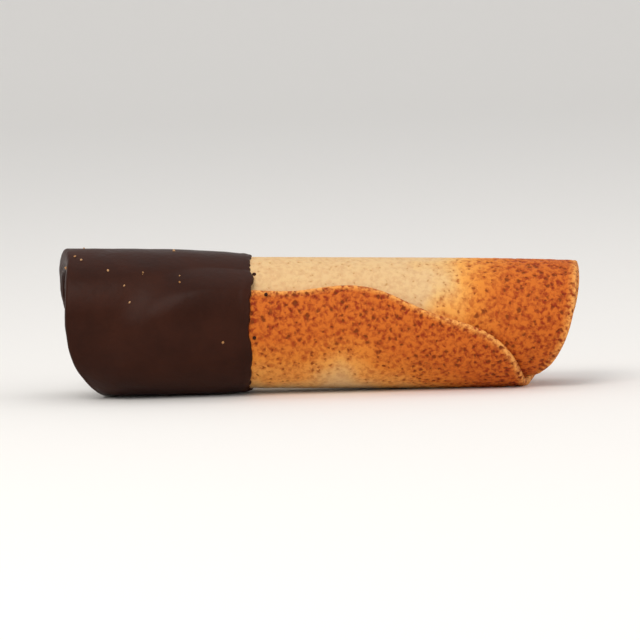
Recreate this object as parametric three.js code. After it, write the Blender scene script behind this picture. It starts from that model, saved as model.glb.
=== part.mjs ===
// A wafer biscuit: a thin oval of batter, baked flat until its rim browns, rolled into a tube while it is hot,
// and dipped at one end in dark chocolate. Millimetres, +Z up. The tube lies along X on a narrow flat
// underside, with the dipped end at -X and the loose edge of the sheet on the -Y side. The origin is on the
// table, under the middle of the biscuit's box.

import * as THREE from "three";

const DEGREE = Math.PI / 180;

// The baked sheet, lying flat: u runs along the tube and v round it, from the inner edge to the loose edge.
const SHEET_HALF_LENGTH = 41.8;
const SHEET_HALF_WRAP = 50;
const SHEET_CORNERS = 0.066; // how much further than an ellipse the batter spreads on its diagonals
const RIM_WAVES = [
  { lobes: 1, height: 0.0183, crest: -108.3 * DEGREE },
  { lobes: 3, height: 0.0248, crest: -20.7 * DEGREE },
  { lobes: 6, height: 0.0219, crest: -2.1 * DEGREE },
  { lobes: 9, height: 0.0182, crest: 6.7 * DEGREE },
  { lobes: 11, height: 0.0132, crest: 13.3 * DEGREE },
];
const MIDDLE_THICKNESS = 1.5;
const RIM_THICKNESS = 1.1;
const RIM_BULGE = 0.4; // how far the rounded rim stands past the edges of the two faces

// The roll. Angles start at the front, -Y, and rise over the top, so 90 degrees is straight up.
const ROLL_RADIUS = 11.2; // from the axis to the middle of the sheet, at its loose edge
const TURN_PITCH = 1.7; // from one turn to the next, which leaves 0.2 mm of air between them
const ROLL_TAPER = 0.006; // how much narrower the tube is at the open end than at its middle
const LOOSE_EDGE = 33.8 * DEGREE;

// The chocolate, a skin outside, round the rim and down the bore.
const DIP_LINE = -11.7; // where the skin stops, from the middle of the sheet
const DIP_WAVES = [
  { lobes: 5, height: 0.35, crest: 40 * DEGREE },
  { lobes: 11, height: 0.25, crest: 12 * DEGREE },
];
const SKIN_CLEARANCE = 0.3; // between the skin and the wafer
const LIP_SKIN = 0.45;
const END_SKIN = 1;
const BORE_SKIN = 0.6;
const BORE_LIP_INSET = 1.5; // how much less deep the chocolate reaches down the bore
// The chocolate bridges the wafer's steps within the reach, and is evened out over the blur.
const SKIN_REACH = { x: 3, angle: 12 * DEGREE };
const SKIN_BLUR = { x: 1, angle: 4 * DEGREE };

// How the biscuit lies: the skin under the dipped end lifts that end a little.
const REST_TILT = 1.7 * DEGREE;
const PRESSED_FLAT = 0.3; // depth of the flat on the underside

// Steps of the meshes.
const SHEET_COLUMNS = 26;
const SHEET_ROWS = 46;
const SKIN_SIDES = 48;
const SKIN_STEPS = 15;
const END_STEPS = 6;
const WINDOW_SAMPLES = [-1, -0.5, 0, 0.5, 1]; // places across a window that is searched, from edge to edge
const RIM_SEARCH_STEP = 0.1;

const GROWTH = TURN_PITCH / (2 * Math.PI);
const INNER_RADIUS = Math.sqrt(ROLL_RADIUS ** 2 - 4 * GROWTH * SHEET_HALF_WRAP);

function waveSum(waves, angle) {
  return waves.reduce(
    (sum, { lobes, height, crest }) => sum + height * Math.cos(lobes * (angle - crest)),
    0,
  );
}

/** The rim's distance from the middle of the sheet at an angle, as a share of an ellipse's. */
function rimAt(angle) {
  return 1 + SHEET_CORNERS * Math.sin(2 * angle) ** 2 + waveSum(RIM_WAVES, angle);
}

/** The flat place of a point of a square from -1 to 1, whose edge is the rim. */
function onSheet(s, t) {
  const across = s * Math.sqrt(1 - (t * t) / 2);
  const along = t * Math.sqrt(1 - (s * s) / 2);
  const share = Math.hypot(across, along);
  const spread = 1 + (rimAt(Math.atan2(along, across)) - 1) * share ** 2;
  return { u: SHEET_HALF_LENGTH * spread * across, v: SHEET_HALF_WRAP * spread * along, share };
}

function isOnSheet(u, v) {
  const across = u / SHEET_HALF_LENGTH;
  const along = v / SHEET_HALF_WRAP;
  return Math.hypot(across, along) <= rimAt(Math.atan2(along, across));
}

function thicknessAt(share) {
  return THREE.MathUtils.lerp(MIDDLE_THICKNESS, RIM_THICKNESS, share ** 4);
}

function taperAt(x) {
  return 1 - (ROLL_TAPER * x) / SHEET_HALF_LENGTH;
}

function roundAxis(x, angle, radius) {
  return new THREE.Vector3(x, -radius * Math.cos(angle), radius * Math.sin(angle));
}

/** How far each face of the sheet lies from its middle. It thins towards the rim on its outer face alone. */
function faceLift(side, share) {
  const underside = MIDDLE_THICKNESS / 2;
  return side > 0 ? thicknessAt(share) - underside : -underside;
}

/** A point of the rolled sheet, lifted outwards from the sheet's middle. */
function rolled(u, v, lift) {
  const radius = Math.sqrt(ROLL_RADIUS ** 2 - 2 * GROWTH * (SHEET_HALF_WRAP - v));
  const angle = LOOSE_EDGE - (ROLL_RADIUS - radius) / GROWTH;
  return roundAxis(u, angle, radius * taperAt(u) + lift);
}

/** A surface being made: points by their place in rows, and triangles between them. */
class Surface {
  points = [];
  triangles = [];

  addRow(row) {
    const first = this.points.length;
    this.points.push(...row);
    return row.map((_, i) => first + i);
  }

  addQuad(a, b, c, d) {
    this.triangles.push(a, b, c, a, c, d);
  }

  /** Joins two closed rings of point numbers. */
  joinRings(ring, next) {
    ring.forEach((a, i) => {
      const j = (i + 1) % ring.length;
      this.addQuad(ring[j], a, next[i], next[j]);
    });
  }

  geometry() {
    return new THREE.BufferGeometry().setFromPoints(this.points).setIndex(this.triangles);
  }
}

/** The places of the rim's points in a grid of rows, once round. */
function rimPlaces() {
  const places = [];
  for (let i = 0; i < SHEET_COLUMNS; i++) places.push([0, i]);
  for (let j = 0; j < SHEET_ROWS; j++) places.push([j, SHEET_COLUMNS]);
  for (let i = SHEET_COLUMNS; i > 0; i--) places.push([SHEET_ROWS, i]);
  for (let j = SHEET_ROWS; j > 0; j--) places.push([j, 0]);
  return places;
}

/** The rolled sheet: an outer and an inner face of the same grid, and a rounded rim between them. */
function waferGeometry() {
  const surface = new Surface();
  const cell = (j, i) => onSheet((2 * i) / SHEET_COLUMNS - 1, (2 * j) / SHEET_ROWS - 1);
  const grid = (side) =>
    Array.from({ length: SHEET_ROWS + 1 }, (_, j) =>
      surface.addRow(
        Array.from({ length: SHEET_COLUMNS + 1 }, (_, i) => {
          const { u, v, share } = cell(j, i);
          return rolled(u, v, faceLift(side, share));
        }),
      ),
    );
  const outer = grid(1);
  const inner = grid(-1);
  for (let j = 0; j < SHEET_ROWS; j++) {
    for (let i = 0; i < SHEET_COLUMNS; i++) {
      surface.addQuad(outer[j][i], outer[j][i + 1], outer[j + 1][i + 1], outer[j + 1][i]);
      surface.addQuad(inner[j][i], inner[j + 1][i], inner[j + 1][i + 1], inner[j][i + 1]);
    }
  }
  const edge = rimPlaces();
  const bulge = surface.addRow(
    edge.map(([j, i]) => {
      const { u, v, share } = cell(j, i);
      const grown = 1 + RIM_BULGE / Math.hypot(u, v);
      return rolled(u * grown, v * grown, (faceLift(1, share) + faceLift(-1, share)) / 2);
    }),
  );
  surface.joinRings(edge.map(([j, i]) => outer[j][i]), bulge);
  surface.joinRings(bulge, edge.map(([j, i]) => inner[j][i]));
  return surface.geometry();
}

/** The turns of the sheet that pass an angle, from the outermost inwards. */
function turnsAt(angle) {
  const turns = [];
  let back = THREE.MathUtils.euclideanModulo(LOOSE_EDGE - angle, 2 * Math.PI);
  for (; ROLL_RADIUS - GROWTH * back >= INNER_RADIUS; back += 2 * Math.PI) {
    const radius = ROLL_RADIUS - GROWTH * back;
    turns.push({ radius, v: SHEET_HALF_WRAP - (ROLL_RADIUS ** 2 - radius ** 2) / (2 * GROWTH) });
  }
  return turns;
}

/** The radius of the wafer's outer (side 1) or bore (side -1) surface, or null past its rim. */
function faceRadius(x, angle, side) {
  const radii = turnsAt(angle)
    .filter(({ v }) => isOnSheet(x, v))
    .map(({ radius }) => side * radius * taperAt(x) + MIDDLE_THICKNESS / 2);
  return radii.length ? side * Math.max(...radii) : null;
}

/** Values of a function in a window round a place, without those that are null. */
function nearby(valueAt, x, angle, window) {
  const values = WINDOW_SAMPLES.flatMap((dx) =>
    WINDOW_SAMPLES.map((da) => valueAt(x + dx * window.x, angle + da * window.angle)),
  );
  return values.filter((value) => value !== null);
}

/** A radius that clears the wafer all round a place, evened out over its steps. */
function clearRadius(x, angle, side) {
  const furthest = (x1, angle1) => {
    const radii = nearby((x2, angle2) => faceRadius(x2, angle2, side), x1, angle1, SKIN_REACH);
    return radii.length ? side * Math.max(...radii.map((radius) => side * radius)) : null;
  };
  const radii = nearby(furthest, x, angle, SKIN_BLUR);
  return radii.reduce((sum, radius) => sum + radius, 0) / radii.length + side * SKIN_CLEARANCE;
}

/** Where the dipped end's rim is at an angle: the furthest of the turns that pass there. */
function rimEnd(angle) {
  const ends = turnsAt(angle).map(({ v }) => {
    let x = 0;
    while (isOnSheet(x - RIM_SEARCH_STEP, v)) x -= RIM_SEARCH_STEP;
    return x;
  });
  return Math.min(...ends) - RIM_BULGE;
}

/** One section of the skin, as rings of [x, radius] from the outer lip round the rim to the bore's lip. */
function skinSection(angle) {
  const lip = DIP_LINE + waveSum(DIP_WAVES, angle);
  const boreLip = lip - BORE_LIP_INSET;
  const end = rimEnd(angle) - SKIN_CLEARANCE;
  const steps = Array.from({ length: SKIN_STEPS + 1 }, (_, i) => i / SKIN_STEPS);
  const outside = steps.map((share) => {
    const x = THREE.MathUtils.lerp(lip, end, share);
    const skin = THREE.MathUtils.lerp(LIP_SKIN, END_SKIN, Math.sqrt(share));
    return { x, radius: clearRadius(x, angle, 1), skin };
  });
  const inside = steps.map((share) => {
    const x = THREE.MathUtils.lerp(end, boreLip, share);
    const skin = THREE.MathUtils.lerp(BORE_SKIN, LIP_SKIN, share);
    return { x, radius: clearRadius(x, angle, -1), skin };
  });
  const outerCorner = outside.at(-1).radius + END_SKIN;
  const boreCorner = inside[0].radius - BORE_SKIN;
  const roundEnd = Array.from({ length: END_STEPS - 1 }, (_, i) => {
    const turn = (Math.PI * (i + 1)) / END_STEPS;
    return [
      end - END_SKIN * Math.sin(turn),
      (outerCorner + boreCorner) / 2 + ((outerCorner - boreCorner) / 2) * Math.cos(turn),
    ];
  });
  return [
    ...outside.map(({ x, radius, skin }) => [x, radius + skin]),
    ...roundEnd,
    ...inside.map(({ x, radius, skin }) => [x, radius - skin]),
    ...inside.toReversed().map(({ x, radius }) => [x, radius]),
    ...outside.toReversed().map(({ x, radius }) => [x, radius]),
  ];
}

/** The skin: its section turned round the axis, and so a closed ring both ways. */
function chocolateGeometry() {
  const surface = new Surface();
  const rings = Array.from({ length: SKIN_SIDES }, (_, i) => {
    const angle = (2 * Math.PI * i) / SKIN_SIDES;
    return surface.addRow(skinSection(angle).map(([x, radius]) => roundAxis(x, angle, radius)));
  });
  rings.forEach((ring, i) => surface.joinRings(ring, rings[(i + 1) % rings.length]));
  return surface.geometry();
}

/** Raises what lies below the table to it, which presses the underside flat. */
function pressFlat(geometry, table) {
  const places = geometry.getAttribute("position");
  for (let i = 0; i < places.count; i++) {
    places.setZ(i, Math.max(places.getZ(i), table));
  }
}

const wafer = new THREE.Mesh(
  waferGeometry(),
  new THREE.MeshStandardMaterial({ color: 0xe9bd84, roughness: 0.85, metalness: 0 }),
);
wafer.name = "wafer_roll";

const chocolate = new THREE.Mesh(
  chocolateGeometry(),
  new THREE.MeshStandardMaterial({ color: 0x2f1b13, roughness: 0.4, metalness: 0 }),
);
chocolate.name = "chocolate_dip";

const biscuit = new THREE.Group();
biscuit.add(wafer, chocolate);

const pieces = biscuit.children.map(({ geometry }) => geometry.rotateY(REST_TILT));
wafer.geometry.computeBoundingBox();
const table = wafer.geometry.boundingBox.min.z + PRESSED_FLAT;
pieces.forEach((geometry) => pressFlat(geometry, table));
const middle = new THREE.Box3().setFromObject(biscuit).getCenter(new THREE.Vector3());
pieces.forEach((geometry) => geometry.translate(-middle.x, -middle.y, -table));

export default biscuit;
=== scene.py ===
"""A wafer biscuit, rolled into a tube while it was hot and dipped at one end in dark chocolate.

It lies on a pale table, with the dipped end at -X and the loose edge of the sheet towards the camera.
"""

import bpy
import numpy as np
from mathutils import Matrix, Vector


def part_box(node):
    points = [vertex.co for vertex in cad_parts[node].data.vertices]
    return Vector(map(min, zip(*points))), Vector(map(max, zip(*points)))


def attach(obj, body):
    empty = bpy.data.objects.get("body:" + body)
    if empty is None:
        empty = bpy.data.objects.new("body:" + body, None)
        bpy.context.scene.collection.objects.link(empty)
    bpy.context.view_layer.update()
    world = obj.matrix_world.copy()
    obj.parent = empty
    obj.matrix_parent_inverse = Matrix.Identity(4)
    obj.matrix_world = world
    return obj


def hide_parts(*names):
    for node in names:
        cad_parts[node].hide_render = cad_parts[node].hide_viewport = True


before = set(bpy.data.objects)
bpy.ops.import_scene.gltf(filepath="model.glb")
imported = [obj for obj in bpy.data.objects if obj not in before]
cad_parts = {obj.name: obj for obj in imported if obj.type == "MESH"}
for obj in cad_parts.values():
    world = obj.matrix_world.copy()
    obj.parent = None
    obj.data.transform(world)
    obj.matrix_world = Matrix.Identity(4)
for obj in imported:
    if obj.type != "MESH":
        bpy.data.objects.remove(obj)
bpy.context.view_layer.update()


# ---- Table, light and camera ----
# A matt white sweep, turned like a wide shallow bowl, so that no edge of it shows from any side.
# One large soft light stands high at the front left, a weaker one fills from the right, a third hangs above,
# and the room is pale.

MM = 0.001
DEGREE = np.pi / 180


def linear(code):
    """An sRGB colour, as a hex code, in the linear values that a shader takes."""
    levels = np.array([int(code[i : i + 2], 16) for i in (1, 3, 5)]) / 255
    values = np.where(levels <= 0.04045, levels / 12.92, ((levels + 0.055) / 1.055) ** 2.4)
    return [*values.tolist(), 1.0]


def add(tree, kind, inputs=None, stops=(), **settings):
    """Adds a node to a tree, with its settings and its ramp's colours. An input is a value or its feed."""
    node = tree.nodes.new(kind)
    for name, value in settings.items():
        setattr(node, name, value)
    for key, value in (inputs or {}).items():
        named = [socket for socket in node.inputs if socket.name == key and socket.enabled]
        socket = named[0] if named else node.inputs[key]
        if isinstance(value, bpy.types.Node):
            value = next(output for output in value.outputs if output.enabled)
        if isinstance(value, bpy.types.NodeSocket):
            tree.links.new(value, socket)
        else:
            socket.default_value = value
    for i, (place, colour) in enumerate(stops):
        if i > 1:
            node.color_ramp.elements.new(place)
        node.color_ramp.elements[i].position = place
        node.color_ramp.elements[i].color = linear(colour)
    return node


def new_material(name):
    """A material with an empty tree, and that tree."""
    material = bpy.data.materials.new(name)
    material.use_nodes = True
    material.node_tree.nodes.clear()
    return material, material.node_tree


def show(mesh, name, *materials):
    """Puts a mesh in the scene as an object at the origin."""
    piece = bpy.data.objects.new(name, mesh)
    for material in materials:
        mesh.materials.append(material)
    bpy.context.scene.collection.objects.link(piece)
    return piece


def mesh_of(name, points, faces):
    """A smooth mesh from points and faces of point numbers."""
    mesh = bpy.data.meshes.new(name)
    mesh.from_pydata(np.asarray(points).tolist(), [], [list(face) for face in faces])
    mesh.shade_smooth()
    return mesh


SWEEP_FLOOR = 1.1  # metres from the middle to where the floor starts to rise
SWEEP_CURVE = 0.6
SWEEP_DROP = 0.00002  # below the biscuit's flat underside, so that the two faces don't coincide
SWEEP_SIDES = 96
SWEEP_STEPS = 16
SWEEP_COLOUR = "#f2f0ed"

sweep_turns = np.linspace(0, 2 * np.pi, SWEEP_SIDES, endpoint=False)
sweep_rises = np.linspace(0, np.pi / 2, SWEEP_STEPS)
sweep_points = [(0, 0, -SWEEP_DROP)]
for rise in sweep_rises:
    reach = SWEEP_FLOOR + SWEEP_CURVE * np.sin(rise)
    height = SWEEP_CURVE * (1 - np.cos(rise)) - SWEEP_DROP
    sweep_points += [(reach * np.cos(turn), reach * np.sin(turn), height) for turn in sweep_turns]
sweep_faces = [(0, 1 + i, 1 + (i + 1) % SWEEP_SIDES) for i in range(SWEEP_SIDES)]
for ring in range(SWEEP_STEPS - 1):
    for i in range(SWEEP_SIDES):
        a, b = 1 + ring * SWEEP_SIDES + i, 1 + ring * SWEEP_SIDES + (i + 1) % SWEEP_SIDES
        sweep_faces.append((a, a + SWEEP_SIDES, b + SWEEP_SIDES, b))

# Matt emulsion on a smooth board: even, with no gloss of its own.
emulsion, tree = new_material("matt_white_emulsion_rolled")
paint = add(
    tree,
    "ShaderNodeBsdfPrincipled",
    {"Base Color": linear(SWEEP_COLOUR), "Roughness": 0.9, "Specular IOR Level": 0.2},
)
add(tree, "ShaderNodeOutputMaterial", {"Surface": paint})
show(mesh_of("sweep", sweep_points, sweep_faces), "sweep", emulsion)

# Name, place in metres, width of the square panel, power in watts and colour.
LIGHTS = [
    ("key_panel", (-0.22, -0.42, 0.52), 0.36, 1.95, "#fffaf4"),
    ("fill_panel", (0.50, -0.40, 0.26), 0.40, 0.5, "#ffffff"),
    ("top_panel", (0.06, 0.12, 0.62), 0.40, 0.32, "#ffffff"),
]
LIGHTS_AIM = Vector((0, 0, 0.012))

for name, place, width, power, colour in LIGHTS:
    panel = bpy.data.lights.new(name, "AREA")
    panel.shape = "SQUARE"
    panel.size = width
    panel.energy = power
    panel.color = linear(colour)[:3]
    lamp = bpy.data.objects.new(name, panel)
    lamp.location = place
    lamp.rotation_euler = (LIGHTS_AIM - Vector(place)).to_track_quat("-Z", "Y").to_euler()
    bpy.context.scene.collection.objects.link(lamp)

ROOM_COLOUR = "#ffffff"
ROOM_STRENGTH = 0.72
room = bpy.data.worlds.new("pale_room")
room.use_nodes = True
room.node_tree.nodes.clear()
walls = add(
    room.node_tree, "ShaderNodeBackground", {"Color": linear(ROOM_COLOUR), "Strength": ROOM_STRENGTH}
)
add(room.node_tree, "ShaderNodeOutputWorld", {"Surface": walls})
bpy.context.scene.world = room
bpy.context.scene.view_settings.view_transform = "Standard"

CAMERA_RISE = 5 * DEGREE
CAMERA_DISTANCE = 0.75
CAMERA_ROLL = -1.6 * DEGREE  # levels the biscuit, which leans as it lies
FRAME_WIDTH = 0.107  # metres across the picture at the biscuit
SENSOR_WIDTH = 36  # millimetres, as on a full-frame camera
CAMERA_AIM = Vector((0, 0, 0.0118))

camera = bpy.data.cameras.new("camera")
camera.sensor_width = SENSOR_WIDTH
camera.lens = SENSOR_WIDTH * CAMERA_DISTANCE / FRAME_WIDTH
eye = bpy.data.objects.new("camera", camera)
eye.location = CAMERA_AIM + CAMERA_DISTANCE * Vector((0, -np.cos(CAMERA_RISE), np.sin(CAMERA_RISE)))
look = (CAMERA_AIM - eye.location).to_track_quat("-Z", "Y").to_matrix().to_4x4()
eye.rotation_euler = (look @ Matrix.Rotation(CAMERA_ROLL, 4, "Z")).to_euler()
bpy.context.scene.collection.objects.link(eye)
bpy.context.scene.camera = eye


# ---- The wafer ----
# A thin oval of batter baked between flat plates, brown and blistered at its rim and pale in the middle.
# It is rolled up round a stick before it sets, so that its last edge lies loose along the front.
# Lengths here are millimetres: u runs along the tube, and v round it from the inner edge to the loose one.

SHEET_HALF_LENGTH = 41.8
SHEET_HALF_WRAP = 50.0
SHEET_CORNERS = 0.066  # how much further than an ellipse the batter spreads on its diagonals
# Lobes, height and first crest.
RIM_WAVES = [
    (1, 0.0183, -108.3 * DEGREE),
    (3, 0.0248, -20.7 * DEGREE),
    (6, 0.0219, -2.1 * DEGREE),
    (9, 0.0182, 6.7 * DEGREE),
    (11, 0.0132, 13.3 * DEGREE),
]
OUTER_MIDDLE = 0.75  # from the middle of the sheet to its outer face
OUTER_RIM = 0.35
UNDERSIDE = 0.9  # from the middle of the sheet to its inner face, which lies on the turn below
RIM_BULGE = 0.45
RIM_ROUNDING = 4  # steps from one face round the rim to the other

ROLL_RADIUS = 11.2
TURN_PITCH = 1.7
ROLL_TAPER = 0.006
LOOSE_EDGE = 33.8 * DEGREE
REST_TILT = 1.7 * DEGREE
PRESSED_FLAT = 0.3  # depth of the flat on the underside

SHOWN_FROM = (-13.5, -16.0)  # u and v past which the sheet's outer face shows
FINE_STEP = 0.31
COARSE_STEP = 1.3
LEAST_SHARE = 1e-6  # keeps the very middle of the sheet from dividing by nothing

PORE_SPACING = 1.0
PORE_BEND = 0.7  # how far the pattern is pulled out of shape, over the next spacing
BEND_SPACING = 0.7
LEAST_PORE = 0.3  # the smallest pore's radius, as a share of the widest one's
PALE_PORE = 0.3  # radius of the widest pores, as a share of the spacing
BROWN_PORE = 0.5
WIDEST_AT = 0.4  # browning from which the pores are as wide as BROWN_PORE
PORE_FLOOR = 0.3  # how far out from its middle a pore is at its deepest, as a share of its radius
PORE_DEPTH = 0.12
BLISTER_SPACING = 0.7
BETWEEN_PORES = 0.14  # how much the blisters keep to the crust between the pores
BETWEEN_REACH = 0.8  # distance from a pore's middle at which they keep to it most, as a share of the spacing
PALE_BLISTER = 0.08  # height
BROWN_BLISTER = 0.36
BROWN_REACH = 25.0  # from the rim to where the colour ends, at the tube's ends
BROWN_NARROWER = 0.35  # how much sooner it ends on the sheet's loose side
BROWN_DRIFT = 0.9  # how unevenly the colour reaches in, as a share
BROWN_DRIFT_SPACING = 12.0
BROWN_DRIFT_SEED = 5.3


def rim_at(angle):
    """The rim's distance from the middle of the sheet at an angle, as a share of an ellipse's."""
    waves = sum(height * np.cos(lobes * (angle - crest)) for lobes, height, crest in RIM_WAVES)
    return 1 + SHEET_CORNERS * np.sin(2 * angle) ** 2 + waves


def uneven_steps(half, shown_from):
    """Places from -1 to 1, close together where the sheet shows and further apart where it doesn't."""
    turn = shown_from / half
    coarse = np.linspace(-1, turn, round((1 + turn) * half / COARSE_STEP), endpoint=False)
    return np.concatenate([coarse, np.linspace(turn, 1, round((1 - turn) * half / FINE_STEP) + 1)])


s, t = np.meshgrid(
    uneven_steps(SHEET_HALF_LENGTH, SHOWN_FROM[0]), uneven_steps(SHEET_HALF_WRAP, SHOWN_FROM[1])
)
across = s * np.sqrt(1 - t**2 / 2)
along = t * np.sqrt(1 - s**2 / 2)
share = np.hypot(across, along)
rim = rim_at(np.arctan2(along, across))
spread = 1 + (rim - 1) * share**2
u = SHEET_HALF_LENGTH * spread * across
v = SHEET_HALF_WRAP * spread * along
# Towards the rim, where the direction from the middle is the same and the share is 1.
aside = np.hypot(SHEET_HALF_LENGTH * across, SHEET_HALF_WRAP * along) / np.maximum(share, LEAST_SHARE)
loose_side = (np.arctan2(along, across) > 0) * np.sin(np.arctan2(along, across)) ** 2
rim_gap = (aside * rim - np.hypot(u, v)) * (1 + BROWN_NARROWER * loose_side)
top = OUTER_MIDDLE + (OUTER_RIM - OUTER_MIDDLE) * share**4

rows, columns = s.shape
numbers = np.arange(rows * columns).reshape(rows, columns)
round_rim = np.concatenate(
    [numbers[0, :-1], numbers[:-1, -1], numbers[-1, :0:-1], numbers[:0:-1, 0]]
)
sheet_points = [
    np.stack([u, v, top], -1).reshape(-1, 3),
    np.stack([u, v, np.full_like(u, -UNDERSIDE)], -1).reshape(-1, 3),
]
sheet_gaps = [rim_gap.ravel(), rim_gap.ravel()]
sheet_sides = [np.ones(numbers.size), -np.ones(numbers.size)]
rim_u, rim_v, rim_top = u.ravel()[round_rim], v.ravel()[round_rim], top.ravel()[round_rim]
for turn in np.pi * np.arange(1, RIM_ROUNDING) / RIM_ROUNDING:
    grown = 1 + RIM_BULGE * np.sin(turn) / np.hypot(rim_u, rim_v)
    lift = (rim_top - UNDERSIDE) / 2 + (rim_top + UNDERSIDE) / 2 * np.cos(turn)
    sheet_points.append(np.stack([rim_u * grown, rim_v * grown, lift], -1))
    sheet_gaps.append(np.zeros(round_rim.size))
    sheet_sides.append(np.full(round_rim.size, np.cos(turn)))

cells = np.stack([numbers[:-1, :-1], numbers[:-1, 1:], numbers[1:, 1:], numbers[1:, :-1]], -1)
sheet_faces = [cells.reshape(-1, 4), cells.reshape(-1, 4)[:, ::-1] + numbers.size]
first = 2 * numbers.size
rings = [round_rim]
rings += [first + i * round_rim.size + np.arange(round_rim.size) for i in range(RIM_ROUNDING - 1)]
rings += [round_rim + numbers.size]
for ring, below in zip(rings, rings[1:]):
    sheet_faces.append(np.stack([np.roll(ring, -1), ring, below, np.roll(below, -1)], -1))

sheet = mesh_of("flat_sheet", np.concatenate(sheet_points), np.concatenate(sheet_faces))
for name, values in {"rim_gap": np.concatenate(sheet_gaps), "side": np.concatenate(sheet_sides)}.items():
    sheet.attributes.new(name, "FLOAT", "POINT").data.foreach_set("value", values.astype(np.float32))


def add_pores(tree, place, browning):
    """Adds the pattern of the baked face, from millimetres on the sheet: how far inside a pore a place is,
    and how high on a blister. The roll's tree shapes the surface by it, and the material paints shade into
    the pores and light and shade on the blisters by it."""
    bend = add(
        tree, "ShaderNodeTexNoise", {"Vector": place, "Scale": 1 / BEND_SPACING, "Detail": 1.0}
    )
    bent = add(
        tree,
        "ShaderNodeVectorMath",
        {0: bend.outputs["Color"], 1: (PORE_BEND, PORE_BEND, PORE_BEND), 2: place},
        operation="MULTIPLY_ADD",
    )
    cells = add(tree, "ShaderNodeTexVoronoi", {"Vector": bent, "Scale": 1 / PORE_SPACING})
    widest = add(
        tree,
        "ShaderNodeMapRange",
        {"Value": browning, "From Max": WIDEST_AT, "To Min": PALE_PORE, "To Max": BROWN_PORE},
    )
    chance = add(tree, "ShaderNodeSeparateXYZ", {"Vector": cells.outputs["Color"]})
    size = add(tree, "ShaderNodeMapRange", {"Value": chance, "To Min": LEAST_PORE})
    reach = add(tree, "ShaderNodeMath", {0: size, 1: widest}, operation="MULTIPLY")
    floor = add(tree, "ShaderNodeMath", {0: reach, 1: PORE_FLOOR}, operation="MULTIPLY")
    pore = add(
        tree,
        "ShaderNodeMapRange",
        {"Value": cells.outputs["Distance"], "From Min": reach, "From Max": floor},
        interpolation_type="SMOOTHSTEP",
    )
    puff = add(
        tree,
        "ShaderNodeTexNoise",
        {"Vector": bent, "Scale": 1 / BLISTER_SPACING, "Detail": 2.0, "Roughness": 0.55},
    )
    between = add(
        tree,
        "ShaderNodeMapRange",
        {
            "Value": cells.outputs["Distance"],
            "From Max": BETWEEN_REACH,
            "To Min": -BETWEEN_PORES,
            "To Max": BETWEEN_PORES,
        },
    )
    blister = add(tree, "ShaderNodeMath", {0: puff, 1: between}, operation="ADD")
    return pore, blister


roll = bpy.data.node_groups.new("roll_up_a_hot_wafer", "GeometryNodeTree")
ROLL_SIZES = {
    "Roll radius": ROLL_RADIUS,
    "Turn pitch": TURN_PITCH,
    "Half wrap": SHEET_HALF_WRAP,
    "Half length": SHEET_HALF_LENGTH,
    "Taper": ROLL_TAPER,
    "Loose edge": LOOSE_EDGE,
    "Brown reach": BROWN_REACH,
    "Brown drift": BROWN_DRIFT,
    "Brown drift spacing": BROWN_DRIFT_SPACING,
    "Pore depth": PORE_DEPTH,
    "Pale blister": PALE_BLISTER,
    "Brown blister": BROWN_BLISTER,
}
roll.interface.new_socket("Sheet", in_out="INPUT", socket_type="NodeSocketGeometry")
roll_sockets = {
    name: roll.interface.new_socket(name, in_out="INPUT", socket_type="NodeSocketFloat")
    for name in ROLL_SIZES
}
crust_socket = roll.interface.new_socket("Crust", in_out="INPUT", socket_type="NodeSocketMaterial")
roll.interface.new_socket("Roll", in_out="OUTPUT", socket_type="NodeSocketGeometry")
given = add(roll, "NodeGroupInput").outputs

flat = add(roll, "GeometryNodeInputPosition")
kept = add(
    roll,
    "GeometryNodeStoreNamedAttribute",
    {"Geometry": given["Sheet"], "Name": "place", "Value": flat},
    data_type="FLOAT_VECTOR",
)
gap = add(roll, "GeometryNodeInputNamedAttribute", {"Name": "rim_gap"}, data_type="FLOAT")
side = add(roll, "GeometryNodeInputNamedAttribute", {"Name": "side"}, data_type="FLOAT")

# The oven's heat: brown at the rim, and uneven further in.
per_drift = add(roll, "ShaderNodeMath", {0: 1.0, 1: given["Brown drift spacing"]}, operation="DIVIDE")
drift = add(
    roll,
    "ShaderNodeTexNoise",
    {"Vector": flat, "W": BROWN_DRIFT_SEED, "Scale": per_drift, "Detail": 2.0},
    noise_dimensions="4D",
)
drift_off = add(roll, "ShaderNodeMath", {0: drift, 1: 0.5}, operation="SUBTRACT")
stretch = add(
    roll, "ShaderNodeMath", {0: drift_off, 1: given["Brown drift"], 2: 1.0}, operation="MULTIPLY_ADD"
)
drifted = add(roll, "ShaderNodeMath", {0: gap, 1: stretch}, operation="MULTIPLY")
browning = add(
    roll,
    "ShaderNodeMapRange",
    {"Value": drifted, "From Min": given["Brown reach"], "From Max": 0.0},
)
browned = add(
    roll,
    "GeometryNodeStoreNamedAttribute",
    {"Geometry": kept, "Name": "browning", "Value": browning},
    data_type="FLOAT",
)

pore, blister = add_pores(roll, flat, browning)
swell = add(roll, "ShaderNodeMath", {0: blister, 1: 0.5}, operation="SUBTRACT")
puffed = add(
    roll,
    "ShaderNodeMapRange",
    {"Value": browning, "To Min": given["Pale blister"], "To Max": given["Brown blister"]},
)
swelled = add(roll, "ShaderNodeMath", {0: swell, 1: puffed}, operation="MULTIPLY")
sunk = add(roll, "ShaderNodeMath", {0: pore, 1: given["Pore depth"]}, operation="MULTIPLY")
relief = add(roll, "ShaderNodeMath", {0: swelled, 1: sunk}, operation="SUBTRACT")
flat_parts = add(roll, "ShaderNodeSeparateXYZ", {"Vector": flat}).outputs
lift = add(
    roll, "ShaderNodeMath", {0: relief, 1: side, 2: flat_parts["Z"]}, operation="MULTIPLY_ADD"
)

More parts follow.
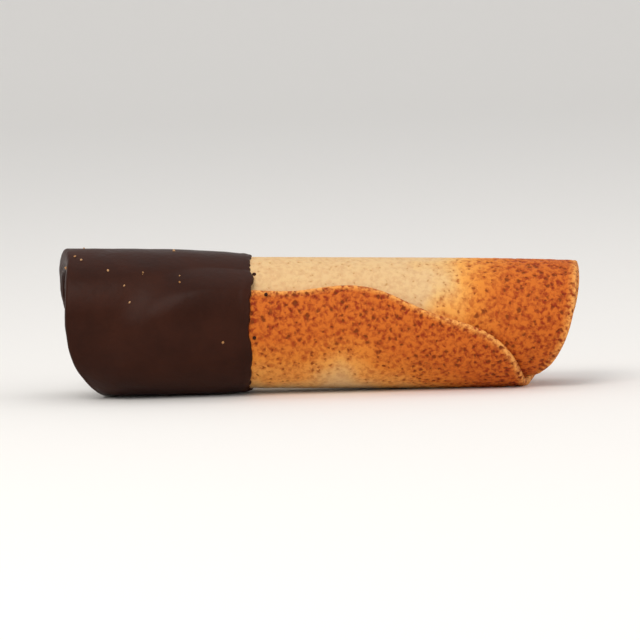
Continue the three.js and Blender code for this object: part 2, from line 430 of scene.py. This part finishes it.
# An even spiral: the square of the radius falls with the length of sheet still to be wound.
growth = add(roll, "ShaderNodeMath", {0: given["Turn pitch"], 1: 2 * np.pi}, operation="DIVIDE")
left = add(roll, "ShaderNodeMath", {0: given["Half wrap"], 1: flat_parts["Y"]}, operation="SUBTRACT")
wound = add(roll, "ShaderNodeMath", {0: left, 1: growth}, operation="MULTIPLY")
wound_twice = add(roll, "ShaderNodeMath", {0: wound, 1: 2.0}, operation="MULTIPLY")
square = add(roll, "ShaderNodeMath", {0: given["Roll radius"], 1: 2.0}, operation="POWER")
rest = add(roll, "ShaderNodeMath", {0: square, 1: wound_twice}, operation="SUBTRACT")
radius = add(roll, "ShaderNodeMath", {0: rest}, operation="SQRT")
sunk_in = add(roll, "ShaderNodeMath", {0: given["Roll radius"], 1: radius}, operation="SUBTRACT")
turned = add(roll, "ShaderNodeMath", {0: sunk_in, 1: growth}, operation="DIVIDE")
angle = add(roll, "ShaderNodeMath", {0: given["Loose edge"], 1: turned}, operation="SUBTRACT")
share_along = add(
    roll, "ShaderNodeMath", {0: flat_parts["X"], 1: given["Half length"]}, operation="DIVIDE"
)
narrowed = add(roll, "ShaderNodeMath", {0: share_along, 1: given["Taper"]}, operation="MULTIPLY")
taper = add(roll, "ShaderNodeMath", {0: 1.0, 1: narrowed}, operation="SUBTRACT")
reach = add(roll, "ShaderNodeMath", {0: radius, 1: taper, 2: lift}, operation="MULTIPLY_ADD")
cosine = add(roll, "ShaderNodeMath", {0: angle}, operation="COSINE")
sine = add(roll, "ShaderNodeMath", {0: angle}, operation="SINE")
forward = add(roll, "ShaderNodeMath", {0: reach, 1: cosine}, operation="MULTIPLY")
back = add(roll, "ShaderNodeMath", {0: forward, 1: -1.0}, operation="MULTIPLY")
up = add(roll, "ShaderNodeMath", {0: reach, 1: sine}, operation="MULTIPLY")
rolled = add(roll, "ShaderNodeCombineXYZ", {"X": flat_parts["X"], "Y": back, "Z": up})
placed = add(roll, "GeometryNodeSetPosition", {"Geometry": browned, "Position": rolled})
smooth = add(roll, "GeometryNodeSetShadeSmooth", {"Geometry": placed})
real = add(roll, "GeometryNodeRealizeInstances", {"Geometry": smooth})
coated = add(roll, "GeometryNodeSetMaterial", {"Geometry": real, "Material": given["Crust"]})
add(roll, "NodeGroupOutput", {"Roll": coated})

# Baked wafer: matt, dry and full of fine pores. Its colour turns from pale cream to gold, orange and brown
# towards the rim, and holds painted light as well:
# a painted highlight on each blister's top and along the very edge of the rim, and painted shade in the
# hollows beside the blisters and in the pores, which are closer and darker where it is browner.
CRUST_AND_RIM_HIGHLIGHT_COLOURS = [
    (0.0, "#dab381"),
    (0.1, "#ddab6b"),
    (0.24, "#de9547"),
    (0.4, "#cf7629"),
    (0.6, "#bb5a19"),
    (0.95, "#b05014"),
    # The last two stops, lighter at the very rim, are a painted highlight along the rim's edge.
    (0.985, "#bf6b2b"),
    (1.0, "#cc7f3e"),
]
# The pores' colours, darker than the face, are painted shade in each pore; like the face, they darken as the
# crust browns.
PORE_SHADE_COLOURS = [(0.0, "#c2945a"), (0.2, "#ad6428"), (0.38, "#8a3f0a"), (1.0, "#7c3508")]
# Painted light and shade on the blisters: a blister's top is painted lighter and yellower as a highlight, and
# the hollow beside it darker as shade, more strongly where the crust is browner.
PALE_BLISTER_LIGHT_AND_SHADE = 0.1  # how much lighter than the face a blister is, and how much darker the hollow beside it
BROWN_BLISTER_LIGHT_AND_SHADE = 0.75
BLISTER_LIGHT_AND_SHADE_TINT = (0.55, 1.0, 1.1)  # a blister is not only lighter but yellower
BLISTER_RANGE = (0.35, 0.65)  # of the blisters' pattern, from the lowest hollows to the highest tops
GRAIN_SPACING = 0.35
GRAIN_HEIGHT = 0.05
PALE_PIT = 0.05  # depth of a pore
BROWN_PIT = 0.1

crust, tree = new_material("wafer_baked_between_plates")
place = add(tree, "ShaderNodeAttribute", attribute_name="place").outputs["Vector"]
brown = add(tree, "ShaderNodeAttribute", attribute_name="browning").outputs["Fac"]
pore, blister = add_pores(tree, place, brown)
face = add(tree, "ShaderNodeValToRGB", {"Fac": brown}, CRUST_AND_RIM_HIGHLIGHT_COLOURS)
hollow = add(tree, "ShaderNodeValToRGB", {"Fac": brown}, PORE_SHADE_COLOURS)
swing = add(
    tree,
    "ShaderNodeMapRange",
    {
        "Value": blister,
        "From Min": BLISTER_RANGE[0],
        "From Max": BLISTER_RANGE[1],
        "To Min": -1.0,
        "To Max": 1.0,
    },
)
# Painted highlight on the blisters' tops and painted shade in the hollows between them.
blister_light_and_shade = add(
    tree, "ShaderNodeMapRange", {"Value": brown, "To Min": PALE_BLISTER_LIGHT_AND_SHADE, "To Max": BROWN_BLISTER_LIGHT_AND_SHADE}
)
tone = add(tree, "ShaderNodeMath", {0: swing, 1: blister_light_and_shade}, operation="MULTIPLY")
tones = add(
    tree, "ShaderNodeVectorMath", {0: tone, 1: BLISTER_LIGHT_AND_SHADE_TINT, 2: (1.0, 1.0, 1.0)}, operation="MULTIPLY_ADD"
)
lit_and_shaded_face = add(tree, "ShaderNodeVectorMath", {0: face.outputs[0], 1: tones}, operation="MULTIPLY")
# Painted shade: the pores take the darker colours.
colour = add(
    tree, "ShaderNodeMix", {"Factor": pore, "A": lit_and_shaded_face, "B": hollow.outputs[0]}, data_type="RGBA"
)
grain = add(tree, "ShaderNodeTexNoise", {"Vector": place, "Scale": 1 / GRAIN_SPACING, "Detail": 2.0})
grain_height = add(tree, "ShaderNodeMath", {0: grain, 1: GRAIN_HEIGHT}, operation="MULTIPLY")
pit = add(tree, "ShaderNodeMapRange", {"Value": brown, "To Min": -PALE_PIT, "To Max": -BROWN_PIT})
height = add(tree, "ShaderNodeMath", {0: pore, 1: pit, 2: grain_height}, operation="MULTIPLY_ADD")
bump = add(tree, "ShaderNodeBump", {"Height": height, "Distance": MM, "Strength": 1.0})
baked = add(
    tree,
    "ShaderNodeBsdfPrincipled",
    {
        "Base Color": colour,
        "Roughness": 0.72,
        "Specular IOR Level": 0.2,
        "Subsurface Weight": 0.1,
        "Subsurface Radius": (1.0, 0.6, 0.35),
        "Subsurface Scale": 0.5 * MM,
        "Normal": bump,
    },
)
add(tree, "ShaderNodeOutputMaterial", {"Surface": baked})


def finished(piece, name):
    """The mesh that a piece's modifiers make, as an object of its own. The piece is removed."""
    evaluated = piece.evaluated_get(bpy.context.evaluated_depsgraph_get())
    mesh = bpy.data.meshes.new_from_object(evaluated)
    mesh.name = name
    bpy.data.objects.remove(piece)
    return show(mesh, name)


def with_tree(piece, tree, sizes, sockets, material, material_socket):
    """Gives a piece a tree of nodes, with its sizes set by the sockets' identifiers."""
    modifier = piece.modifiers.new(tree.name, "NODES")
    modifier.node_group = tree
    for name, size in sizes.items():
        modifier[sockets[name].identifier] = size
    modifier[material_socket.identifier] = material
    return piece


wafer = finished(
    with_tree(show(sheet, "flat_sheet"), roll, ROLL_SIZES, roll_sockets, crust, crust_socket),
    "rolled_sheet",
)


def points_of(mesh):
    """The places of a mesh's points, one row each."""
    places = np.empty(3 * len(mesh.vertices), np.float32)
    mesh.vertices.foreach_get("co", places)
    return places.reshape(-1, 3)


def lay_down(mesh, shift):
    """Tilts a mesh made in millimetres round the axis as it lies, moves it to its place on the table, and
    presses flat what is below the table."""
    mesh.transform(Matrix.Translation(shift) @ Matrix.Scale(MM, 4) @ Matrix.Rotation(REST_TILT, 4, "Y"))
    places = points_of(mesh)
    places[:, 2] = np.maximum(places[:, 2], 0)
    mesh.vertices.foreach_set("co", places.ravel())
    mesh.update()


leaning = points_of(wafer.data) @ np.array(Matrix.Rotation(REST_TILT, 3, "Y")).T * MM
low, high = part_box("wafer_roll")
settling = Vector(
    (
        high.x - leaning[:, 0].max(),
        (low.y + high.y - leaning[:, 1].min() - leaning[:, 1].max()) / 2,
        -leaning[:, 2].min() - PRESSED_FLAT * MM,
    )
)
lay_down(wafer.data, settling)
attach(wafer, "root")
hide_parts("wafer_roll")


# ---- The chocolate ----
# Dark couverture, tempered and fluid, into which the end of the tube is dipped. It drains to a thin uneven
# lip on the wafer, stays thicker towards the end, coats the rim and runs a little way down the bore.

DIP_LINE = -11.7
DIP_WAVES = [(5, 0.25, 40 * DEGREE), (11, 0.15, 12 * DEGREE)]
RAGGED_LOBES = np.arange(9, 62)  # the lip's small irregular scallops
RAGGED = 0.5  # height of each, times its lobes
RAGGED_SEED = 4
LIP_SKIN = 0.34
LIP_ROUND = 0.3
LIP_BEAD = 0.1  # how much higher the chocolate stands where it stopped
LIP_BEAD_REACH = 1.6
FULL_SKIN = 1.28
FULL_SKIN_REACH = 6.0  # how far from the lip the skin has mostly reached its full thickness
END_SKIN = 1.0
END_ROUNDING = 0.5  # power of the end's curve: 1 is half an ellipse, and less is squarer
END_CLEARANCE = 0.2  # between the wafer's rim and where the skin turns round it
END_EVENED = 5 * DEGREE
BORE_SKIN = 0.6
BORE_LIP_INSET = 1.5
SINK = 0.25  # how far the hidden side reaches into the wafer
LIP_TUCK = 0.1  # how far behind the lip the hidden side starts
SEAM_GROOVE = 0.45  # depth of the dips between the turns on the end
SEAM_WIDTH = 0.5

SKIN_SIDES = 264
SKIN_STEP = 0.32
BORE_STEPS = 56
END_STEPS = 26
ROUND_STEPS = 5
HIDDEN_STEPS = 20
MAP_STEP = 0.25  # of the radius map, in millimetres along the tube
MAP_MARGIN = 5  # how far past the ellipse's end it runs
BRIDGED = (3.0, 12 * DEGREE)  # how far the chocolate bridges the wafer's steps, along and round
EVENED = (2.5, 12 * DEGREE)  # how far what it bridges is then evened out

GROWTH = TURN_PITCH / (2 * np.pi)
INNER_RADIUS = np.sqrt(ROLL_RADIUS**2 - 4 * GROWTH * SHEET_HALF_WRAP)
MOST_TURNS = 3  # more than the roll has, because those inside the inner radius are left out


def turns_at(angle):
    """The radius of each turn of the sheet that passes an angle, outermost first, and its place round it."""
    turned_back = (LOOSE_EDGE - angle) % (2 * np.pi) + 2 * np.pi * np.arange(MOST_TURNS)[:, None]
    radius = ROLL_RADIUS - GROWTH * turned_back
    return radius, SHEET_HALF_WRAP - (ROLL_RADIUS**2 - radius**2) / (2 * GROWTH)


def face_map(along, angles, side):
    """The radius of the wafer's outer (1) or bore (-1) face along the tube and round it, minus infinity past
    its rim. The bore's is negative, so that the larger number is always the nearer to the chocolate."""
    radius, wrap = turns_at(angles)
    lengthwise = along[:, None, None] / SHEET_HALF_LENGTH
    turned = wrap / SHEET_HALF_WRAP
    there = np.hypot(lengthwise, turned) <= rim_at(np.arctan2(turned, lengthwise))
    there &= radius >= INNER_RADIUS
    taper = 1 - ROLL_TAPER * lengthwise
    faces = side * radius * taper + (OUTER_MIDDLE if side > 0 else UNDERSIDE)
    return np.where(there, faces, -np.inf).max(axis=1)


def window(values, reach, steps, combine):
    """Combines each place of a map with its neighbours, first along the tube and then round it."""
    along, around = round(reach[0] / steps[0]), round(reach[1] / steps[1])
    padded = np.pad(values, ((along, along), (0, 0)), mode="edge")
    values = combine([padded[i : i + len(values)] for i in range(2 * along + 1)])
    return combine([np.roll(values, i, axis=1) for i in range(-around, around + 1)])


angles = 2 * np.pi * np.arange(SKIN_SIDES) / SKIN_SIDES
tube = np.arange(-SHEET_HALF_LENGTH - MAP_MARGIN, 0, MAP_STEP)
map_steps = (MAP_STEP, angles[1])


def coated_map(side):
    """The radius that the chocolate bridges and evens out, along the tube and round it."""
    nearest = window(face_map(tube, angles, side), BRIDGED, map_steps, lambda parts: np.max(parts, axis=0))
    known = np.isfinite(nearest)
    total = window(np.where(known, nearest, 0), EVENED, map_steps, lambda parts: np.sum(parts, axis=0))
    count = window(known.astype(float), EVENED, map_steps, lambda parts: np.sum(parts, axis=0))
    return side * total / np.maximum(count, 1)


def waves_at(angle):
    """How far the dip's line strays along the tube."""
    return sum(height * np.cos(lobes * (angle - crest)) for lobes, height, crest in DIP_WAVES)


outer_map, bore_map = coated_map(1), coated_map(-1)
bare = face_map(tube, angles, 1)
rim_ends = tube[np.argmax(np.isfinite(bare), axis=0)]
rim_ends = window(rim_ends[None, :], (0, END_EVENED), map_steps, lambda parts: np.mean(parts, axis=0))[0]
ends = rim_ends - RIM_BULGE - END_CLEARANCE
drain_lines = DIP_LINE + waves_at(angles)
crests = np.random.default_rng(RAGGED_SEED).uniform(0, 2 * np.pi, RAGGED_LOBES.size)
ragged = (RAGGED / RAGGED_LOBES * np.cos(RAGGED_LOBES * angles[:, None] + crests)).sum(axis=1)
lips = drain_lines + ragged

skin_rings = []
for j, angle in enumerate(angles):
    lip, end = lips[j], ends[j]
    outside = np.linspace(lip - LIP_ROUND, end, round((DIP_LINE + SHEET_HALF_LENGTH) / SKIN_STEP))
    drained = np.maximum(drain_lines[j] - LIP_ROUND - outside, 0)
    skin = LIP_SKIN + (FULL_SKIN - LIP_SKIN) * (1 - np.exp(-drained / FULL_SKIN_REACH))
    skin += LIP_BEAD * np.sin(np.pi * np.minimum(drained / LIP_BEAD_REACH, 1)) ** 2
    over = np.interp(outside, tube, outer_map[:, j]) + skin
    rise = np.pi / 2 * np.arange(ROUND_STEPS) / ROUND_STEPS
    lip_radius = np.interp(lip, tube, outer_map[:, j])
    lip_x = lip - LIP_ROUND * (1 - np.cos(rise))
    lip_r = lip_radius - SINK + (LIP_SKIN + SINK) * np.sin(rise)
    bore_lip = lip - BORE_LIP_INSET
    inside = np.linspace(end, bore_lip - LIP_ROUND, BORE_STEPS)
    lining = BORE_SKIN + (LIP_SKIN - BORE_SKIN) * np.linspace(0, 1, BORE_STEPS)
    under = np.interp(inside, tube, bore_map[:, j]) - lining
    bore_radius = np.interp(bore_lip, tube, bore_map[:, j])
    bore_x = bore_lip - LIP_ROUND * (1 - np.cos(rise))
    bore_r = bore_radius + SINK - (LIP_SKIN + SINK) * np.sin(rise)
    turn = np.pi * np.arange(1, END_STEPS) / END_STEPS
    end_r = (over[-1] + under[0]) / 2 + (over[-1] - under[0]) / 2 * np.cos(turn)
    seams = turns_at(np.array([angle]))[0][:, 0] - TURN_PITCH / 2
    dips = np.exp(-(((end_r[:, None] - seams) / SEAM_WIDTH) ** 2)).sum(axis=1)
    end_x = end - END_SKIN * np.sin(turn) ** END_ROUNDING + SEAM_GROOVE * dips * np.sin(turn)
    back = np.linspace(bore_lip - LIP_TUCK, end, HIDDEN_STEPS)
    forth = np.linspace(end, lip - LIP_TUCK, HIDDEN_STEPS)
    skin_rings.append(
        np.concatenate(
            [
                np.stack([lip_x, lip_r], -1),
                np.stack([outside, over], -1),
                np.stack([end_x, end_r], -1),
                np.stack([inside, under], -1),
                np.stack([bore_x, bore_r], -1)[::-1],
                np.stack([back, np.interp(back, tube, bore_map[:, j]) + SINK], -1),
                np.stack([forth, np.interp(forth, tube, outer_map[:, j]) - SINK], -1),
            ]
        )
    )
sections = np.array(skin_rings)
section_size = sections.shape[1]
shown_count = section_size - 2 * HIDDEN_STEPS
turned = angles[:, None]
coat_points = np.stack(
    [sections[..., 0], -sections[..., 1] * np.cos(turned), sections[..., 1] * np.sin(turned)], -1
).reshape(-1, 3)
numbers = np.arange(SKIN_SIDES * section_size).reshape(SKIN_SIDES, section_size)
beside = np.roll(numbers, -1, axis=0)
coat_faces = np.stack(
    [np.roll(numbers, -1, axis=1), numbers, beside, np.roll(beside, -1, axis=1)], -1
).reshape(-1, 4)
coat = mesh_of("plain_coat", coat_points, coat_faces)
shows = np.tile(np.arange(section_size) < shown_count, SKIN_SIDES)
coat.attributes.new("shows", "FLOAT", "POINT").data.foreach_set("value", shows.astype(np.float32))

FLOW_SIZES = {
    "Flow spacing": 9.0,
    "Flow height": 0.35,
    "Ripple spacing": 2.2,
    "Ripple height": 0.07,
}
flow = bpy.data.node_groups.new("set_uneven_as_it_drains", "GeometryNodeTree")
flow.interface.new_socket("Coat", in_out="INPUT", socket_type="NodeSocketGeometry")
flow_sockets = {
    name: flow.interface.new_socket(name, in_out="INPUT", socket_type="NodeSocketFloat")
    for name in FLOW_SIZES
}
couverture_socket = flow.interface.new_socket(
    "Couverture", in_out="INPUT", socket_type="NodeSocketMaterial"
)
flow.interface.new_socket("Set coat", in_out="OUTPUT", socket_type="NodeSocketGeometry")
given = add(flow, "NodeGroupInput").outputs
spot = add(flow, "GeometryNodeInputPosition")
kept = add(
    flow,
    "GeometryNodeStoreNamedAttribute",
    {"Geometry": given["Coat"], "Name": "place", "Value": spot},
    data_type="FLOAT_VECTOR",
)
heights = []
for name in ("Flow", "Ripple"):
    per = add(flow, "ShaderNodeMath", {0: 1.0, 1: given[name + " spacing"]}, operation="DIVIDE")
    noise = add(flow, "ShaderNodeTexNoise", {"Vector": spot, "Scale": per, "Detail": 1.0})
    off = add(flow, "ShaderNodeMath", {0: noise, 1: 0.5}, operation="SUBTRACT")
    heights.append(
        add(flow, "ShaderNodeMath", {0: off, 1: given[name + " height"]}, operation="MULTIPLY")
    )
uneven = add(flow, "ShaderNodeMath", {0: heights[0], 1: heights[1]}, operation="ADD")
shown = add(flow, "GeometryNodeInputNamedAttribute", {"Name": "shows"}, data_type="FLOAT")
raised = add(flow, "ShaderNodeMath", {0: uneven, 1: shown}, operation="MULTIPLY")
outwards = add(flow, "GeometryNodeInputNormal")
moved = add(flow, "ShaderNodeVectorMath", {0: outwards, "Scale": raised}, operation="SCALE")
set_coat = add(flow, "GeometryNodeSetPosition", {"Geometry": kept, "Offset": moved})
smooth = add(flow, "GeometryNodeSetShadeSmooth", {"Geometry": set_coat})
real = add(flow, "GeometryNodeRealizeInstances", {"Geometry": smooth})
coated = add(flow, "GeometryNodeSetMaterial", {"Geometry": real, "Material": given["Couverture"]})
add(flow, "NodeGroupOutput", {"Set coat": coated})

# Tempered couverture, set in the air: nearly black brown, with the soft gloss of cocoa butter, and slightly
# greyer where it has a trace of bloom.
CLOUD_SPACING = 7.0
CLOUD_RANGE = (0.3, 0.7)  # of the clouds' pattern, from darkest and glossiest to palest and dullest
COUVERTURE_COLOURS = [(CLOUD_RANGE[0], "#2d140b"), (CLOUD_RANGE[1], "#391b10")]
LEAST_ROUGH = 0.34
MOST_ROUGH = 0.48
SKIN_GRAINS = 1.1  # in each millimetre
SKIN_GRAIN_HEIGHT = 0.05

couverture, tree = new_material("dark_couverture_tempered")
place = add(tree, "ShaderNodeAttribute", attribute_name="place").outputs["Vector"]
cloud = add(
    tree,
    "ShaderNodeTexNoise",
    {"Vector": place, "Scale": 1 / CLOUD_SPACING, "Detail": 4.0, "Roughness": 0.6},
)
tint = add(tree, "ShaderNodeValToRGB", {"Fac": cloud}, COUVERTURE_COLOURS)
gloss = add(
    tree,
    "ShaderNodeMapRange",
    {
        "Value": cloud,
        "From Min": CLOUD_RANGE[0],
        "From Max": CLOUD_RANGE[1],
        "To Min": LEAST_ROUGH,
        "To Max": MOST_ROUGH,
    },
)
skin_grain = add(
    tree, "ShaderNodeTexNoise", {"Vector": place, "Scale": SKIN_GRAINS, "Detail": 3.0, "Roughness": 0.5}
)
skin_bump = add(
    tree, "ShaderNodeBump", {"Height": skin_grain, "Distance": SKIN_GRAIN_HEIGHT * MM, "Strength": 1.0}
)
set_chocolate = add(
    tree,
    "ShaderNodeBsdfPrincipled",
    {
        "Base Color": tint.outputs[0],
        "Roughness": gloss,
        "IOR": 1.46,
        "Specular IOR Level": 0.1,
        "Normal": skin_bump,
    },
)
add(tree, "ShaderNodeOutputMaterial", {"Surface": set_chocolate})

chocolate = finished(
    with_tree(show(coat, "plain_coat"), flow, FLOW_SIZES, flow_sockets, couverture, couverture_socket),
    "chocolate_coat",
)
lay_down(chocolate.data, settling)
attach(chocolate, "root")
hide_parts("chocolate_dip")


# ---- The splashes ----
# Specks of the same couverture that jumped past the lip as the end was dipped. Each spread a little on the
# wafer and set as a low round drop.

# Along the tube, round the sheet, and radius.
SPLASHES = [
    (-9.2, 48.4, 0.3),
    (-11.2, -12.0, 0.34),
    (-11.1, 41.6, 0.3),
    (-10.3, 20.0, 0.26),
]
SPLASH_HEIGHT = 0.22
DROP_RINGS = 12
DROP_SIDES = 20


def rolled_up(places):
    """The rolled places, in millimetres, of places on the flat sheet with their heights over its middle."""
    along, wrap, lift = places.T
    radius = np.sqrt(ROLL_RADIUS**2 - 2 * GROWTH * (SHEET_HALF_WRAP - wrap))
    angle = LOOSE_EDGE - (ROLL_RADIUS - radius) / GROWTH
    reach = radius * (1 - ROLL_TAPER * along / SHEET_HALF_LENGTH) + lift
    return np.stack([along, -reach * np.cos(angle), reach * np.sin(angle)], -1)


slopes = np.pi * np.arange(1, DROP_RINGS) / DROP_RINGS
turns = 2 * np.pi * np.arange(DROP_SIDES) / DROP_SIDES
slope, turn = [values.ravel() for values in np.meshgrid(slopes, turns, indexing="ij")]
round_drop = np.stack([np.sin(slope) * np.cos(turn), np.sin(slope) * np.sin(turn), np.cos(slope)], -1)
unit_drop = np.concatenate([[(0, 0, 1)], round_drop, [(0, 0, -1)]])
last = len(unit_drop) - 1
drop_faces = []
for i in range(DROP_SIDES):
    j = (i + 1) % DROP_SIDES
    drop_faces += [(0, 1 + i, 1 + j), (last, last - DROP_SIDES + j, last - DROP_SIDES + i)]
    for ring in range(1, last - DROP_SIDES, DROP_SIDES):
        drop_faces.append((ring + i, ring + DROP_SIDES + i, ring + DROP_SIDES + j, ring + j))

splash_points, splash_faces = [], []
for along, wrap, radius in SPLASHES:
    first = len(splash_points) * len(unit_drop)
    splash_faces += [[first + point for point in face] for face in drop_faces]
    flat_drop = unit_drop * (radius, radius, SPLASH_HEIGHT) + (along, wrap, OUTER_MIDDLE)
    splash_points.append(rolled_up(flat_drop))
splashes = show(mesh_of("splashes", np.concatenate(splash_points), splash_faces), "splashes", couverture)
lay_down(splashes.data, settling)
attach(splashes, "root")


# ---- The crumbs ----
# Grains of the crust that fell on the chocolate before it had set, and stuck there. Each is a dry splinter of
# baked batter, less than a millimetre across.

CRUMB_SIZES = {
    "Crumbs per area": 15000.0,  # in a square metre
    "Least size": 0.25 * MM,
    "Greatest size": 0.8 * MM,
    "Lowest facing": -0.35,  # upward part of the chocolate's direction, below which no crumb sticks
    "Roughness": 0.9,
}
CRUMB_SEED = 5
CRUMB_LUMPS = 1.8  # lumps across a crumb
CRUMB_LEAST_SHAPE = (0.55, 0.55, 0.4)  # each way, as a share of its size
CRUMB_MOST_SHAPE = (1.0, 0.9, 0.7)

strew = bpy.data.node_groups.new("strew_crumbs_on_the_coat", "GeometryNodeTree")
strew.interface.new_socket("Coat", in_out="INPUT", socket_type="NodeSocketGeometry")
crumb_sockets = {
    name: strew.interface.new_socket(name, in_out="INPUT", socket_type="NodeSocketFloat")
    for name in CRUMB_SIZES
}
crumb_socket = strew.interface.new_socket("Crust", in_out="INPUT", socket_type="NodeSocketMaterial")
strew.interface.new_socket("Crumbs", in_out="OUTPUT", socket_type="NodeSocketGeometry")
given = add(strew, "NodeGroupInput").outputs
shown = add(strew, "GeometryNodeInputNamedAttribute", {"Name": "shows"}, data_type="FLOAT")
facing = add(strew, "ShaderNodeSeparateXYZ", {"Vector": add(strew, "GeometryNodeInputNormal")})
raised = add(
    strew,
    "FunctionNodeCompare",
    {"A": facing.outputs["Z"], "B": given["Lowest facing"]},
    operation="GREATER_THAN",
)
open_to_crumbs = add(strew, "FunctionNodeBooleanMath", {0: raised, 1: shown}, operation="AND")
spots = add(
    strew,
    "GeometryNodeDistributePointsOnFaces",
    {
        "Mesh": given["Coat"],
        "Selection": open_to_crumbs,
        "Density": given["Crumbs per area"],
        "Seed": CRUMB_SEED,
    },
)
pebble = add(strew, "GeometryNodeMeshIcoSphere", {"Radius": 0.5, "Subdivisions": 3})
pebble_noise = add(strew, "ShaderNodeTexNoise", {"Scale": CRUMB_LUMPS, "Detail": 2.0})
pebble_off = add(strew, "ShaderNodeMath", {0: pebble_noise, 1: 0.5}, operation="SUBTRACT")
pebble_lift = add(
    strew, "ShaderNodeMath", {0: pebble_off, 1: given["Roughness"]}, operation="MULTIPLY"
)
outwards = add(strew, "GeometryNodeInputNormal")
lifted = add(strew, "ShaderNodeVectorMath", {0: outwards, "Scale": pebble_lift}, operation="SCALE")
lumpy = add(strew, "GeometryNodeSetPosition", {"Geometry": pebble, "Offset": lifted})
crumb = add(strew, "GeometryNodeSetShadeSmooth", {"Geometry": lumpy})
size = add(
    strew,
    "FunctionNodeRandomValue",
    {"Min": given["Least size"], "Max": given["Greatest size"], "Seed": CRUMB_SEED},
    data_type="FLOAT",
)
shape = add(
    strew,
    "FunctionNodeRandomValue",
    {"Min": CRUMB_LEAST_SHAPE, "Max": CRUMB_MOST_SHAPE, "Seed": CRUMB_SEED + 1},
    data_type="FLOAT_VECTOR",
)
sized = add(strew, "ShaderNodeVectorMath", {0: shape, "Scale": size}, operation="SCALE")
spun = add(
    strew,
    "FunctionNodeRandomValue",
    {"Min": (-np.pi, -np.pi, -np.pi), "Max": (np.pi, np.pi, np.pi), "Seed": CRUMB_SEED + 2},
    data_type="FLOAT_VECTOR",
)
scattered = add(
    strew,
    "GeometryNodeInstanceOnPoints",
    {"Points": spots, "Instance": crumb, "Rotation": spun, "Scale": sized},
)
real = add(strew, "GeometryNodeRealizeInstances", {"Geometry": scattered})
coated = add(strew, "GeometryNodeSetMaterial", {"Geometry": real, "Material": given["Crust"]})
add(strew, "NodeGroupOutput", {"Crumbs": coated})

# Broken crust: dry, matt and a pale orange brown, so that the eye sees light grains on the dark chocolate.
BROKEN_COLOURS = [(0.35, "#a2703f"), (0.65, "#cda074")]
BROKEN_SPACING = 3 * MM  # from a darker crumb to a lighter one

broken, tree = new_material("wafer_crust_broken")
crumb_place = add(tree, "ShaderNodeTexCoord").outputs["Object"]
crumb_cloud = add(
    tree, "ShaderNodeTexNoise", {"Vector": crumb_place, "Scale": 1 / BROKEN_SPACING, "Detail": 1.0}
)
crumb_colour = add(tree, "ShaderNodeValToRGB", {"Fac": crumb_cloud}, BROKEN_COLOURS)
dry = add(
    tree,
    "ShaderNodeBsdfPrincipled",
    {"Base Color": crumb_colour.outputs[0], "Roughness": 0.85, "Specular IOR Level": 0.2},
)
add(tree, "ShaderNodeOutputMaterial", {"Surface": dry})

strewn_coat = show(chocolate.data.copy(), "coat_for_crumbs")
crumbs = finished(
    with_tree(strewn_coat, strew, CRUMB_SIZES, crumb_sockets, broken, crumb_socket), "stuck_crumbs"
)
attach(crumbs, "root")
